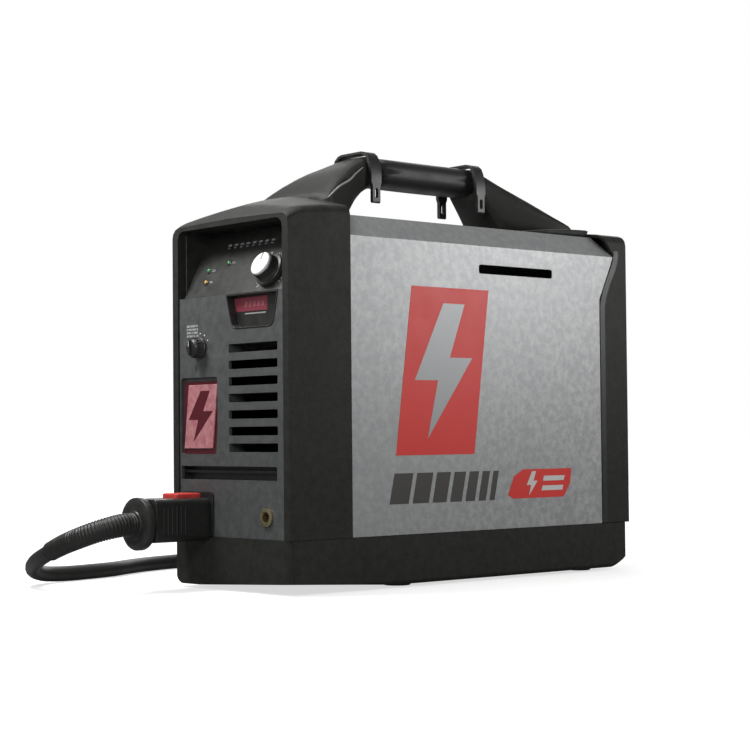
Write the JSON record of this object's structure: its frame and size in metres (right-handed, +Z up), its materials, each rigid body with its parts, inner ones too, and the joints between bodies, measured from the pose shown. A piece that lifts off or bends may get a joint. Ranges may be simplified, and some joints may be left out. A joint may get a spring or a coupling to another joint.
{
  "type": "plasma cutter power supply",
  "caption": "Portable inverter plasma cutter: boxy upright case with a full-length carry handle, front controls and louvres, and a hand torch on a coiled lead.",
  "frame": {"origin": "on the floor under the middle of the machine, leaving out the torch lead and torch", "axes": "+Z up, the control front faces -Y, +X to the right seen from the front"},
  "size_m": [0.4313, 0.7177, 0.3885],
  "materials": {
    "charcoal_plastic": "fine textured",
    "panel_plastic": "fine textured",
    "black_plastic": "satin",
    "grip_rubber": "ribbed",
    "cover_paint": "silver-grey metallic paint",
    "red_plastic": "satin",
    "pale_plastic": "satin",
    "cable_rubber": "matte",
    "brass": "machined",
    "copper": "copper",
    "steel": "wire and turned steel",
    "aluminium": "mill",
    "board_green": "circuit board",
    "core_grey": "moulded cores and cans",
    "clear_bowl": "clear bowl"
  },
  "bodies": {
    "machine": {"front_cap": "charcoal_plastic", "rear_cap": "charcoal_plastic", "base_tray": "charcoal_plastic", "handle_front_post": "charcoal_plastic", "handle_rear_post": "charcoal_plastic", "side_cover": "cover_paint", "handle_grip": "grip_rubber", "foot_1": "grip_rubber", "foot_2": "grip_rubber", "foot_3": "grip_rubber", "foot_4": "grip_rubber", "front_panel": "panel_plastic", "groove_bar": "black_plastic", "rear_panel": "panel_plastic", "louvre_grille": "panel_plastic", "display_bezel": "black_plastic", "control_panel": "black_plastic", "control_hood": "black_plastic", "work_socket_insulator": "black_plastic", "torch_receptacle": "black_plastic", "torch_plug": "black_plastic", "plug_collar": "black_plastic", "torch_handle": "black_plastic", "torch_head": "black_plastic", "front_strap_clip": "black_plastic", "rear_strap_clip": "black_plastic", "switch_frame": "black_plastic", "power_cord_gland": "black_plastic", "fan_frame": "black_plastic", "interface_port_cover": "black_plastic", "badge_plate": "panel_plastic", "badge_mark": "pale_plastic", "torch_lead": "cable_rubber", "torch_lead_sleeve": "cable_rubber", "torch_lead_coil": "cable_rubber", "torch_lead_tail": "cable_rubber", "gas_tube": "cable_rubber", "work_socket_ring": "brass", "gas_inlet_fitting": "brass", "solenoid_valve": "brass", "torch_shield": "copper", "output_inductor": "copper", "torch_retaining_cap": "steel", "fan_guard": "steel", "chassis_plate": "aluminium", "heatsink": "aluminium", "filter_regulator": "aluminium", "power_board": "board_green", "control_board": "board_green", "transformer": "core_grey", "capacitor_1": "core_grey", "capacitor_2": "core_grey", "filter_bowl": "clear_bowl"},
    "current_knob": {"current_knob": "black_plastic", "current_knob_cap": "pale_plastic"},
    "mode_knob": {"mode_knob": "black_plastic"},
    "power_rocker": {"switch_rocker": "red_plastic"},
    "fan_wheel": {"fan_rotor": "black_plastic"},
    "plug_button": {"plug_release_button": "red_plastic"},
    "trigger": {"torch_trigger": "red_plastic"}
  },
  "joints": [
    {"name": "current_knob_turn", "type": "hinge", "parent": "machine", "child": "current_knob", "pos_m": [0.044, -0.1976, 0.27048], "axis": [0, -0.891, 0.454], "range_deg": [-135, 135]},
    {"name": "mode_knob_turn", "type": "hinge", "parent": "machine", "child": "mode_knob", "pos_m": [-0.043, -0.2095, 0.2093], "axis": [0, -1, 0], "range_deg": [-45, 45]},
    {"name": "power_rocker_tilt", "type": "hinge", "parent": "machine", "child": "power_rocker", "pos_m": [-0.049, 0.199, 0.27], "axis": [1, 0, 0], "range_deg": [0, 12]},
    {"name": "fan_spin", "type": "hinge", "parent": "machine", "child": "fan_wheel", "pos_m": [-0.01, 0.187, 0.165], "axis": [0, 1, 0], "continuous": true},
    {"name": "plug_button_press", "type": "slide", "parent": "machine", "child": "plug_button", "axis": [0, 0, -1], "range_m": [0, 0.003], "stiffness_N_per_m": 300},
    {"name": "trigger_pull", "type": "hinge", "parent": "machine", "child": "trigger", "pos_m": [-0.334, 0.275, 0.0285], "axis": [1, 0, 0], "range_deg": [0, 7], "stiffness_Nm_per_rad": 0.2}
  ]
}
